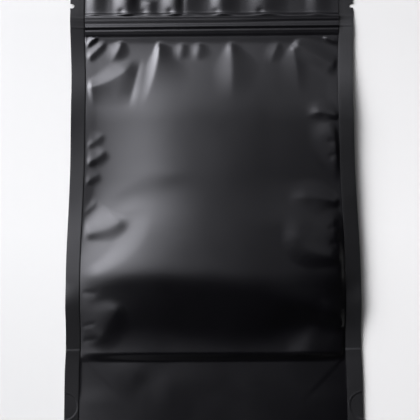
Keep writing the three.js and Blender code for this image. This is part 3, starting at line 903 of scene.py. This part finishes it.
class Nodes:
    """Builds a material's nodes with little writing."""

    def __init__(self, name: str) -> None:
        """Starts a material with a Principled shader."""
        self.material = bpy.data.materials.new(name)
        self.material.use_nodes = True
        self.tree = self.material.node_tree
        self.shader = self.tree.nodes["Principled BSDF"]

    def add(self, kind: str, **settings: object) -> bpy.types.Node:
        """Adds a node.

        Args:
            kind: The node's type, without its ShaderNode prefix.
            **settings: Its properties, and under `inputs` its sockets' values by name.

        Returns:
            The new node.
        """
        node = self.tree.nodes.new("ShaderNode" + kind)
        for name, value in settings.pop("inputs", {}).items():
            node.inputs[name].default_value = value
        for name, value in settings.items():
            setattr(node, name, value)
        return node

    def link(self, source: bpy.types.NodeSocket, target: bpy.types.NodeSocket) -> None:
        """Links two sockets."""
        self.tree.links.new(source, target)

    def place(self) -> bpy.types.NodeSocket:
        """The piece's own coordinates, in metres."""
        return self.add("TexCoord").outputs["Object"]

    def noise(self, scale: float, detail: float) -> bpy.types.NodeSocket:
        """Noise on the piece's own coordinates, with features 1/scale metres in size."""
        noise = self.add("TexNoise", inputs={"Scale": scale, "Detail": detail})
        self.link(self.place(), noise.inputs["Vector"])
        return noise.outputs["Fac"]

    def remap(self, source: bpy.types.NodeSocket, *limits: float) -> bpy.types.NodeSocket:
        """Maps a range onto another, given the lower and upper ends of both."""
        names = ("From Min", "From Max", "To Min", "To Max")
        node = self.add("MapRange", inputs=dict(zip(names, limits)))
        self.link(source, node.inputs["Value"])
        return node.outputs["Result"]

    def blend(self, share: bpy.types.NodeSocket, colours: Sequence[Colour]) -> bpy.types.NodeSocket:
        """Blends from the first of two colours to the second."""
        mix = self.add("Mix", data_type="RGBA")
        for socket, colour in zip(MIX_COLOURS, colours):
            mix.inputs[socket].default_value = (*colour, 1.0)
        self.link(share, mix.inputs[0])
        return mix.outputs[2]


@dataclass(frozen=True)
class FilmFinish:
    """Matt laminated film.

    Attributes:
        name: The material's name.
        colours: Its darkest and its lightest colour.
        roughness: The range of its roughness.
        gloss: Strength of its reflections, 0.5 for plain film.
        ior: Its refractive index.
        shades: Scale and detail of the noise between its two colours.
        patches: The same for its roughness.
        grain: The same for its fine grain.
        grain_depth: Depth of that grain in metres.
    """

    name: str
    colours: tuple[Colour, Colour]
    roughness: Pair
    gloss: float = 0.5
    ior: float = 1.5
    shades: Pair = (28.0, 3.0)
    patches: Pair = (60.0, 4.0)
    grain: Pair = (2600.0, 2.0)
    grain_depth: float = 0.000012

    def make(self) -> bpy.types.Material:
        """Builds the material."""
        nodes = Nodes(self.name)
        shader = nodes.shader.inputs
        nodes.link(nodes.blend(nodes.noise(*self.shades), self.colours), shader["Base Color"])
        patches = nodes.remap(nodes.noise(*self.patches), *NOISE_MIDDLE, *self.roughness)
        nodes.link(patches, shader["Roughness"])
        bump = nodes.add("Bump", inputs={"Strength": 1.0, "Distance": self.grain_depth})
        nodes.link(nodes.noise(*self.grain), bump.inputs["Height"])
        nodes.link(bump.outputs["Normal"], shader["Normal"])
        shader["IOR"].default_value = self.ior
        shader["Specular IOR Level"].default_value = self.gloss
        return nodes.material


BODY_FILM = FilmFinish("body_film", ((0.0010, 0.0009, 0.0014), (0.0013, 0.0012, 0.0018)),
                       (0.30, 0.33))
WELDED_FILM = FilmFinish("welded_film", ((0.002, 0.002, 0.0022), (0.004, 0.004, 0.0042)),
                         (0.42, 0.48), 0.4)


def dress(piece: bpy.types.Object, finish: bpy.types.Material, sharp: float) -> None:
    """Shades, dresses and hands over a finished piece.

    Args:
        piece: A mesh object at the origin.
        finish: Its material.
        sharp: The angle in degrees past which an edge stays crisp.
    """
    mesh = piece.data
    mesh.materials.clear()
    mesh.materials.append(finish)
    mesh.shade_smooth()
    mesh.set_sharp_from_angle(angle=math.radians(sharp))
    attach(piece, BODY)
    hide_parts(NODE)
    triangles = sum(len(face.vertices) - 2 for face in mesh.polygons)
    log.info("%s: %d triangles", piece.name, triangles)


@dataclass(frozen=True)
class Knurl:
    """The fine diamonds pressed into a weld.

    Attributes:
        pitch: Half the width of a diamond, and the grid's step.
        height: Height of a diamond.
    """

    pitch: float = 0.4
    height: float = 0.045

    def at(self, column: Points, y: Points, upper: bool) -> Points:
        """What it adds to a face's height: one diamond to every second point of the grid."""
        peak = (np.rint(column / self.pitch) + np.rint(y / self.pitch)) % 2
        return (1.0 if upper else -1.0) * self.height * peak

    def grid(self, start: float, end: float) -> Points:
        """Evenly spaced places about a pitch apart."""
        return np.linspace(start, end, round((end - start) / self.pitch) + 1)


KNURL = Knurl()


@dataclass(frozen=True)
class Body:
    """The front and the back between the seams, from the foot's lips to the weld at the mouth.

    Attributes:
        middle: Half the width of the plain middle, where the grid is coarser, and its step there.
        edges: For each part from there to a seam, how far from the seam it ends, and its step.
        parts: For each part from the foot up, the level where it ends, and its step.
        sharp: The angle in degrees past which an edge stays crisp.
    """

    middle: Pair = (22.0, 1.3)
    edges: tuple[Pair, ...] = ((1.2, 0.85), (0.36, 0.42), (0.0, 0.12))
    parts: tuple[Pair, ...] = (
        (FORM.skirt_top - 1.2, 1.4), (FORM.step_top + 1.0, 0.5), (-40.0, 0.95), (30.0, 1.15),
        (88.0, 0.95), (104.0, 0.36), (112.0, 0.8), (FORM.seal_bottom, 1.2))
    sharp: float = 50.0

    def columns(self) -> Points:
        """Places across a pouch that isn't drawn in."""
        edges = [(FORM.plain_seam - inside, step) for inside, step in self.edges]
        half = divide(0.0, (self.middle, *edges))
        return np.concatenate((-half[:0:-1], half))

    def build(self, finish: bpy.types.Material) -> bpy.types.Object:
        """Makes the piece and cuts the slit between its lips."""
        piece = slab("body", self.columns(), divide(-LENGTH / 2, self.parts), FORM.web)
        cut(piece, OFFCUTS.slit(), Cut.AWAY)
        dress(piece, finish, self.sharp)
        return piece


@dataclass(frozen=True)
class SideWeld:
    """One of the long welded strips, with its fine diamond knurl.

    Attributes:
        side: -1 for the left one, 1 for the right.
        border: The plain strip along each edge of the weld.
        header_border: The same along the inner edge above the zipper.
        tuck: How far the strip reaches in under the body's edge.
        tuck_depth: How far its faces lie below the body's there.
        groove_columns: The grid's columns in the groove along the inner edge.
        sharp: The angle in degrees past which an edge stays crisp.
    """

    side: int
    border: float = 0.5
    header_border: float = 3.0
    tuck: float = 0.4
    tuck_depth: float = 0.05
    groove_columns: Pair = (0.12, 0.24)
    sharp: float = 60.0

    def surface(self, column: Points, y: Points, upper: bool) -> tuple[Points, Points]:
        """One face of the weld; columns count outwards from the seam."""
        z = FORM.strip(np.maximum(column, 0.0), y, upper, self.side)
        z = z - (1.0 if upper else -1.0) * self.tuck_depth * (column < 0.0)
        border = np.where(y > FORM.zipper.steps[0][0], self.header_border, self.border)
        inside = (column > border) & (column < FORM.side_seal - self.border)
        z = z + KNURL.at(column, y, upper) * inside
        return self.side * (FORM.seam(y) + column), z

    def build(self, finish: bpy.types.Material) -> bpy.types.Object:
        """Makes the piece, and rounds its corners and cuts its tear notch."""
        name = "side_weld_left" if self.side < 0 else "side_weld_right"
        columns = KNURL.grid(0.0, FORM.side_seal)
        columns = np.concatenate(([-self.tuck, 0.0, *self.groove_columns], columns[1:]))
        piece = slab(name, columns, KNURL.grid(-LENGTH / 2, LENGTH / 2), self.surface)
        if self.side < 0:
            piece.data.flip_normals()
        cut(piece, OFFCUTS.outline(), Cut.KEEP)
        cut(piece, OFFCUTS.notch(self.side), Cut.AWAY)
        dress(piece, finish, self.sharp)
        return piece


@dataclass(frozen=True)
class MouthWeld:
    """The weld across the mouth, between the side welds.

    Attributes:
        border: The plain strip along its lower edge.
        sharp: The angle in degrees past which an edge stays crisp.
    """

    border: float = 1.0
    sharp: float = 60.0

    def surface(self, column: Points, y: Points, upper: bool) -> tuple[Points, Points]:
        """One face of the weld."""
        x, z = FORM.web(column, y, upper)
        inside = y > FORM.seal_bottom + self.border
        return x, z + KNURL.at(column, y, upper) * inside

    def build(self, finish: bpy.types.Material) -> bpy.types.Object:
        """Makes the piece."""
        columns = KNURL.grid(-FORM.plain_seam, FORM.plain_seam)
        rows = KNURL.grid(FORM.seal_bottom, FORM.top)
        piece = slab("mouth_weld", columns, rows, self.surface)
        dress(piece, finish, self.sharp)
        return piece


@dataclass(frozen=True)
class Window:
    """A square soft light facing the pouch.

    Attributes:
        name: Its name.
        across: How far it leans from straight above towards +x, in degrees.
        along: How far it leans towards +y.
        distance: Its distance from the pouch, in metres.
        size: The length of its sides, in metres.
        power: Its power in watts.
        colour: Its colour.
    """

    name: str
    across: float
    along: float
    distance: float
    size: float
    power: float
    colour: Colour = (0.975, 0.975, 1.06)

    def build(self) -> None:
        """Adds the light."""
        data = bpy.data.lights.new(self.name, "AREA")
        data.shape = "SQUARE"
        data.size = self.size
        data.energy = self.power
        data.color = self.colour
        lean = [math.tan(math.radians(angle)) for angle in (self.across, self.along)]
        place = Vector((*lean, 1.0)).normalized() * self.distance
        turn = place.to_track_quat("Z", "Y").to_matrix().to_4x4()
        light = bpy.data.objects.new(self.name, data)
        light.matrix_world = Matrix.Translation(place) @ turn
        bpy.context.scene.collection.objects.link(light)


WINDOWS = (
    Window("window_0.6", -48.0, 42.0, 1.306, 0.6, 11.0),
    Window("window_1.1", -48.0, 42.0, 1.311, 1.1, 21.0),
    Window("window_1.7", -48.0, 42.0, 1.317, 1.7, 22.0),
    Window("wall", 10.0, 41.0, 2.0, 2.0, 4.5),
    Window("door", -50.0, -72.0, 2.0, 1.0, 1.1),
)


@dataclass(frozen=True)
class Studio:
    """The table, the lights and the camera.

    Attributes:
        camera_height: Height of the camera over the table.
        aim: Where its axis meets the table.
        foot_point: The point of the table straight below it.
        roll: Its turn about its axis, in degrees.
        field: Its angle of view, in degrees.
        clip_start: How near to it things show, in metres.
        table_size: Half the table's width, in metres.
        table_shaded_colours: The table's colour to the left and to the right of the pouch; the left
            one
        is darker, as painted shade that evens out the windows' stronger light there.
        table_shade_across: Where it goes from one to the other, in metres.
        table_far_painted_shade: The share of that brightness left beyond the pouch's mouth, a
            painted shade there.
        table_shade_along: Where it goes down to that painted shade, in metres.
        table_roughness: How matt the table is.
        windows: The lights.
        room: Strength of the room's own light.
    """

    camera_height: float = 550.0
    aim: Pair = (-1.5, -8.8)
    foot_point: Pair = (-1.5, -86.4)
    roll: float = 0.26
    field: float = 23.55
    clip_start: float = 0.01
    table_size: float = 1.5
    table_shaded_colours: tuple[Colour, Colour] = ((0.57, 0.57, 0.535), (0.72, 0.715, 0.67))
    table_shade_across: Pair = (-0.11, 0.11)
    table_far_painted_shade: float = 0.83
    table_shade_along: Pair = (-0.02, 0.1)
    table_roughness: float = 0.6
    windows: tuple[Window, ...] = WINDOWS
    room: float = 0.012

    def camera(self) -> None:
        """Makes the camera, with the photograph's perspective."""
        data = bpy.data.cameras.new("camera")
        data.angle = math.radians(self.field)
        data.clip_start = self.clip_start
        camera = bpy.data.objects.new("camera", data)
        place = Vector((*self.foot_point, self.camera_height)) * METRES
        target = Vector((*self.aim, 0.0)) * METRES
        turn = (target - place).to_track_quat("-Z", "Y").to_matrix().to_4x4()
        roll = Matrix.Rotation(math.radians(-self.roll), 4, "Z")
        camera.matrix_world = Matrix.Translation(place) @ turn @ roll
        bpy.context.scene.collection.objects.link(camera)
        bpy.context.scene.camera = camera

    def table(self) -> None:
        """Makes the table top."""
        bm = bmesh.new()
        bmesh.ops.create_grid(bm, x_segments=4, y_segments=4, size=self.table_size)
        mesh = finished("table", bm)
        mesh.materials.append(self.table_material())
        adopt("table", mesh)

    def table_material(self) -> bpy.types.Material:
        """Makes the table's matt white, with painted shade towards the left and beyond the mouth.
        """
        nodes = Nodes("table")
        split = nodes.add("SeparateXYZ")
        nodes.link(nodes.place(), split.inputs["Vector"])
        # Painted shade: the table's colour is darker towards the left, to even out the windows'
        # light, and darker beyond the mouth.
        across = nodes.remap(split.outputs["X"], *self.table_shade_across, 0.0, 1.0)
        along = nodes.remap(split.outputs["Y"], *self.table_shade_along, 1.0, self.table_far_painted_shade)
        shaded = nodes.add("VectorMath", operation="SCALE")
        nodes.link(nodes.blend(across, self.table_shaded_colours), shaded.inputs[0])
        nodes.link(along, shaded.inputs["Scale"])
        nodes.link(shaded.outputs["Vector"], nodes.shader.inputs["Base Color"])
        nodes.shader.inputs["Roughness"].default_value = self.table_roughness
        return nodes.material

    def world(self) -> None:
        """Sets the dim light of the room."""
        world = bpy.data.worlds.new("room")
        world.use_nodes = True
        background = world.node_tree.nodes["Background"].inputs
        background["Color"].default_value = (1.0, 1.0, 1.0, 1.0)
        background["Strength"].default_value = self.room
        bpy.context.scene.world = world

    def build(self) -> None:
        """Makes everything that isn't the pouch."""
        self.camera()
        self.table()
        for window in self.windows:
            window.build()
        self.world()
        bpy.context.scene.view_settings.view_transform = "Standard"
        bpy.context.scene.view_settings.look = "None"


def main() -> None:
    """Builds the pouch and its surroundings."""
    logging.basicConfig(level=logging.INFO, format="%(name)s: %(message)s")
    Studio().build()
    body_film = BODY_FILM.make()
    welded_film = WELDED_FILM.make()
    Body().build(body_film)
    for side in (-1, 1):
        SideWeld(side).build(welded_film)
    MouthWeld().build(welded_film)


if __name__ == "__main__":
    main()
